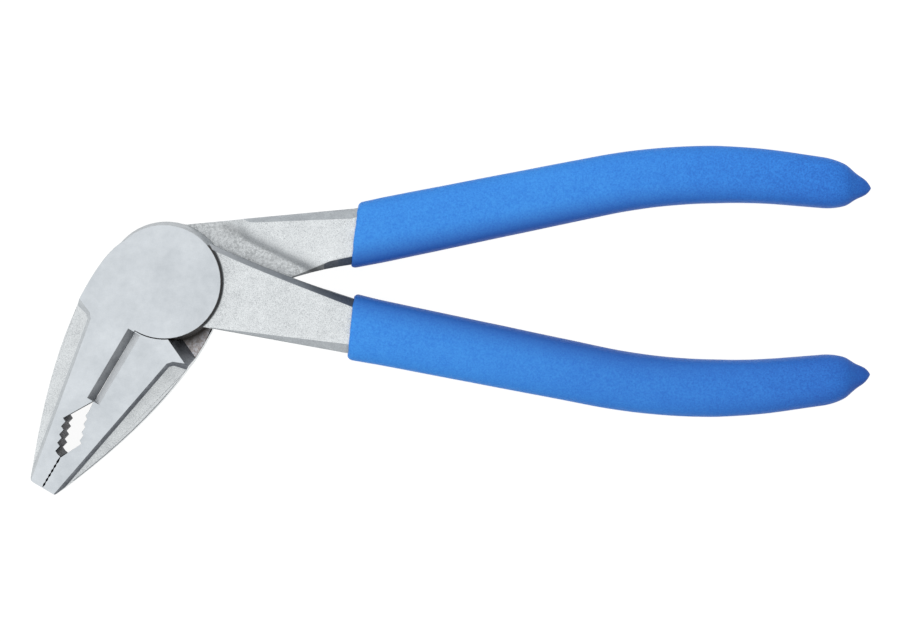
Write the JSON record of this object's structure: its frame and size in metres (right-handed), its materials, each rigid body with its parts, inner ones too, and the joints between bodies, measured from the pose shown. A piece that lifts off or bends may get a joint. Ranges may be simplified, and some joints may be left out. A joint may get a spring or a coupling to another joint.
{
  "type": "combination pliers",
  "caption": "Combination pliers with an angled head: riveted lap joint, serrated flat tips, toothed pipe grip, wire cutter and dipped grips on bowed handles.",
  "frame": {"origin": "on the pivot axis, in the plane of the head's rear face, which is the plane that the pliers lie on", "axes": "+X along the middle line between the handles, towards their ends; +Z along the pivot, out of the front face; +Y towards the rear lever's handle"},
  "size_m": [0.1592, 0.066, 0.0095],
  "materials": {
    "forged_steel": "satin ground faces, blasted forged flanks and handles",
    "rivet_steel": "ground flush, satin",
    "dipped_vinyl": "fine orange-peel dip coat, matte"
  },
  "bodies": {
    "rear_half": {"rear_lever": "forged_steel", "upper_grip": "dipped_vinyl"},
    "front_half": {"front_lever": "forged_steel", "lower_grip": "dipped_vinyl", "pivot_rivet": "rivet_steel"}
  },
  "joints": [
    {"name": "pivot", "type": "hinge", "parent": "rear_half", "child": "front_half", "pos_m": [0, 0, 0], "axis": [0, 0, -1], "range_deg": [0, 25]}
  ]
}
